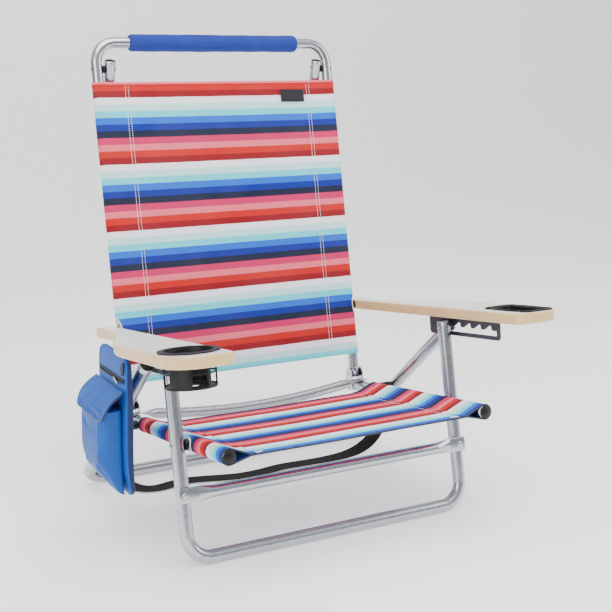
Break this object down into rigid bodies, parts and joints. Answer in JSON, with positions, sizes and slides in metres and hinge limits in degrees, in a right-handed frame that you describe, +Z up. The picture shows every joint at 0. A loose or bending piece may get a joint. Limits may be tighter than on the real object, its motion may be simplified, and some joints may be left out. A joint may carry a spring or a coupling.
{
  "type": "beach chair",
  "caption": "Folding lay-flat beach chair: aluminium tube frame, striped cloth seat and back, notched wooden armrests with cup holder and phone tray, and a side pouch.",
  "frame": {"origin": "on the floor under the middle of the chair's box", "axes": "+Z up, the chair faces -Y, the sitter's right is -X"},
  "size_m": [0.7886, 0.7275, 0.9252],
  "materials": {
    "aluminium_tube": "satin anodised extruded tube",
    "rivet_steel": "plated rivets and bolts",
    "hinge_steel": "zinc plated pressed steel",
    "bracket_steel": "dark zinc coated pressed steel",
    "black_plastic": "moulded plastic, fine texture",
    "striped_cloth": "woven polyester, printed stripes",
    "handle_foam": "cloth-covered foam",
    "tag_cloth": "woven tag",
    "strap_webbing": "woven webbing",
    "arm_wood": "clear lacquered hardwood",
    "pouch_nylon": "coated nylon"
  },
  "bodies": {
    "seat_frame": {"seat_rail_left": "aluminium_tube", "seat_rail_right": "aluminium_tube", "seat_crossbar": "aluminium_tube", "seat_rail_caps": "black_plastic", "hinge_plates": "hinge_steel", "hinge_rivets": "rivet_steel", "crossbar_rivets": "rivet_steel", "seat_cloth": "striped_cloth", "front_pivot_bolts": "rivet_steel", "front_pivot_spacers": "black_plastic", "rear_pivot_bolts": "rivet_steel", "rear_pivot_spacers": "black_plastic"},
    "back_hinge": {"hinge_pins": "rivet_steel", "hinge_washers": "black_plastic"},
    "front_legs": {"front_leg_frame": "aluminium_tube", "front_crossbar": "aluminium_tube", "front_crossbar_rivets": "rivet_steel", "front_leg_caps": "black_plastic", "front_notch_studs": "rivet_steel"},
    "rear_legs": {"rear_leg_frame": "aluminium_tube", "rear_leg_caps": "black_plastic", "rear_notch_studs": "rivet_steel", "strap_studs": "rivet_steel", "shoulder_strap": "strap_webbing"},
    "back": {"back_frame": "aluminium_tube", "back_end_plugs": "black_plastic", "back_cloth": "striped_cloth", "handle_foam": "handle_foam", "back_tag": "tag_cloth", "support_rivets": "rivet_steel", "support_spacers": "black_plastic", "arm_washers": "black_plastic"},
    "support_leg": {"support_leg_frame": "aluminium_tube", "support_leg_caps": "black_plastic"},
    "arm_pivot_left": {"arm_bolt_left": "rivet_steel"},
    "arm_pivot_right": {"arm_bolt_right": "rivet_steel"},
    "armrest_left": {"armrest_board_left": "arm_wood", "arm_bracket_left": "bracket_steel", "arm_screws_left": "rivet_steel", "cup_holder": "black_plastic", "pouch_body": "pouch_nylon", "pouch_pocket": "pouch_nylon", "pouch_port": "black_plastic"},
    "pouch_lid": {"pouch_flap": "pouch_nylon"},
    "armrest_right": {"armrest_board_right": "arm_wood", "arm_bracket_right": "bracket_steel", "arm_screws_right": "rivet_steel", "phone_tray": "black_plastic"}
  },
  "joints": [
    {"name": "fold", "type": "hinge", "parent": "seat_frame", "child": "back_hinge", "pos_m": [0.0095, 0.18328, 0.19389], "axis": [1, 0, 0], "range_deg": [0, 80]},
    {"name": "back_recline", "type": "hinge", "parent": "back_hinge", "child": "back", "pos_m": [0.0095, 0.18328, 0.19389], "axis": [1, 0, 0], "range_deg": [-62, 0]},
    {"name": "front_leg_fold", "type": "hinge", "parent": "seat_frame", "child": "front_legs", "pos_m": [0.0095, -0.14039, 0.21171], "axis": [1, 0, 0], "range_deg": [0, 80.5]},
    {"name": "rear_leg_fold", "type": "hinge", "parent": "seat_frame", "child": "rear_legs", "pos_m": [0.0095, 0.11312, 0.17608], "axis": [1, 0, 0], "range_deg": [0, 28.1]},
    {"name": "arm_level_left", "type": "hinge", "parent": "back", "child": "arm_pivot_left", "pos_m": [0.0095, 0.21307, 0.34294], "axis": [1, 0, 0], "range_deg": [-80.98, 0]},
    {"name": "arm_level_right", "type": "hinge", "parent": "back", "child": "arm_pivot_right", "pos_m": [0.0095, 0.21307, 0.34294], "axis": [1, 0, 0], "range_deg": [-80.98, 0]},
    {"name": "arm_tilt_left", "type": "hinge", "parent": "arm_pivot_left", "child": "armrest_left", "pos_m": [0.0095, 0.21307, 0.34294], "axis": [1, 0, 0], "range_deg": [0, 50.72]},
    {"name": "arm_tilt_right", "type": "hinge", "parent": "arm_pivot_right", "child": "armrest_right", "pos_m": [0.0095, 0.21307, 0.34294], "axis": [1, 0, 0], "range_deg": [0, 50.72]},
    {"name": "support_leg_swing", "type": "hinge", "parent": "back", "child": "support_leg", "pos_m": [0.0095, 0.31555, 0.8558], "axis": [1, 0, 0], "range_deg": [-12, 66.5]},
    {"name": "pouch_flap_lift", "type": "hinge", "parent": "armrest_left", "child": "pouch_lid", "pos_m": [-0.3511, 0.0111, 0.298], "axis": [0, 1, 0], "range_deg": [0, 100]}
  ],
  "couplings": [
    {"joint": "front_leg_fold", "follows": "fold", "ratio": 1},
    {"joint": "rear_leg_fold", "follows": "fold", "ratio": 0.345},
    {"joint": "arm_level_left", "follows": "fold", "ratio": -1.006},
    {"joint": "arm_level_right", "follows": "fold", "ratio": -1.006},
    {"joint": "arm_tilt_left", "follows": "back_recline", "ratio": -0.81},
    {"joint": "arm_tilt_right", "follows": "back_recline", "ratio": -0.81}
  ]
}
